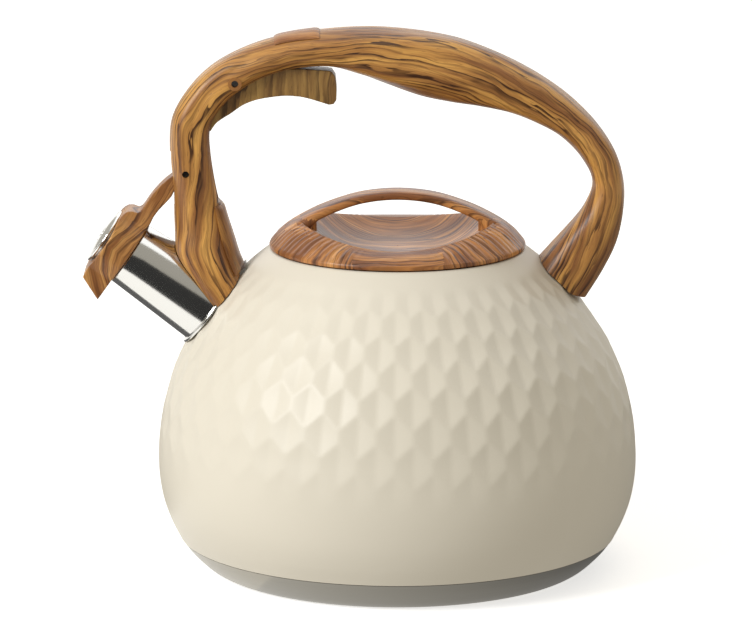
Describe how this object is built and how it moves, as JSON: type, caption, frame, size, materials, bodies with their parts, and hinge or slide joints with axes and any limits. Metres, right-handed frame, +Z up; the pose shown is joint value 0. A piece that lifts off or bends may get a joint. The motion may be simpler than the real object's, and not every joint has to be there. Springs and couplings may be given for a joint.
{
  "type": "whistling kettle",
  "caption": "Rounded stovetop kettle with a dimpled shoulder, angled steel spout, squeeze trigger that lifts the whistle cover, wood-look arched handle and a lift-off lid.",
  "frame": {"origin": "centre of the flat underside of the base, under the vessel's axis", "axes": "+Z up along the vessel's axis, -X towards the spout, +X towards the rear foot of the handle, -Y towards the viewer with the spout on the left"},
  "size_m": [0.2393, 0.206, 0.2363],
  "materials": {
    "cream_paint": "satin cream baked paint on steel",
    "steel_base": "brushed steel",
    "steel_pan": "plain steel",
    "aluminium": "mill finish",
    "steel_polished": "mirror polished steel",
    "steel_bracket": "plain steel",
    "wood_print_handle": "wood-pattern film on moulded plastic, satin lacquer",
    "wood_print_cap": "wood-pattern film on moulded plastic",
    "wood_print_leg": "wood-pattern film on moulded plastic",
    "steel_screw": "zinc plated steel",
    "steel_pin": "dark steel",
    "steel_spring": "spring steel wire",
    "wood_print_trigger": "wood-pattern film on moulded plastic",
    "wood_print_cover": "wood-pattern film on moulded plastic",
    "steel_whistle": "polished steel",
    "steel_dome": "mirror polished steel",
    "steel_lid": "plain steel",
    "wood_print_lid": "wood-pattern film on moulded plastic"
  },
  "bodies": {
    "vessel": {"kettle_body": "cream_paint", "bottom_pan": "steel_pan", "heat_spreader": "aluminium", "base_cap": "steel_base", "spout": "steel_polished", "spout_collar": "steel_polished", "front_bracket": "steel_bracket", "rear_bracket": "steel_bracket", "handle_shell": "wood_print_handle", "handle_top_cap": "wood_print_cap", "leg_cover": "wood_print_leg", "handle_screws": "steel_screw", "trigger_pin": "steel_pin", "cover_pin": "steel_pin", "trigger_spring": "steel_spring"},
    "trigger": {"trigger_lever": "wood_print_trigger"},
    "cover": {"spout_cover": "wood_print_cover", "whistle_cup": "steel_whistle", "whistle_disc": "steel_whistle", "whistle_dome": "steel_dome"},
    "lid": {"lid_plate": "steel_lid", "lid_skirt": "steel_lid", "lid_grip": "wood_print_lid", "lid_screws": "steel_screw"}
  },
  "joints": [
    {"name": "trigger_squeeze", "type": "hinge", "parent": "vessel", "child": "trigger", "pos_m": [-0.069, 0, 0.2111], "axis": [0, -1, 0], "range_deg": [0, 10], "stiffness_Nm_per_rad": 0.3, "springref_deg": -20.05, "deforming": ["trigger_spring"]},
    {"name": "cover_lift", "type": "hinge", "parent": "vessel", "child": "cover", "pos_m": [-0.0901, 0, 0.1721], "axis": [0, 1, 0], "range_deg": [0, 40]},
    {"name": "lid_lift", "type": "slide", "parent": "vessel", "child": "lid", "axis": [0, 0, 1], "range_m": [0, 0.028]}
  ],
  "couplings": [
    {"joint": "cover_lift", "follows": "trigger_squeeze", "ratio": 4}
  ]
}
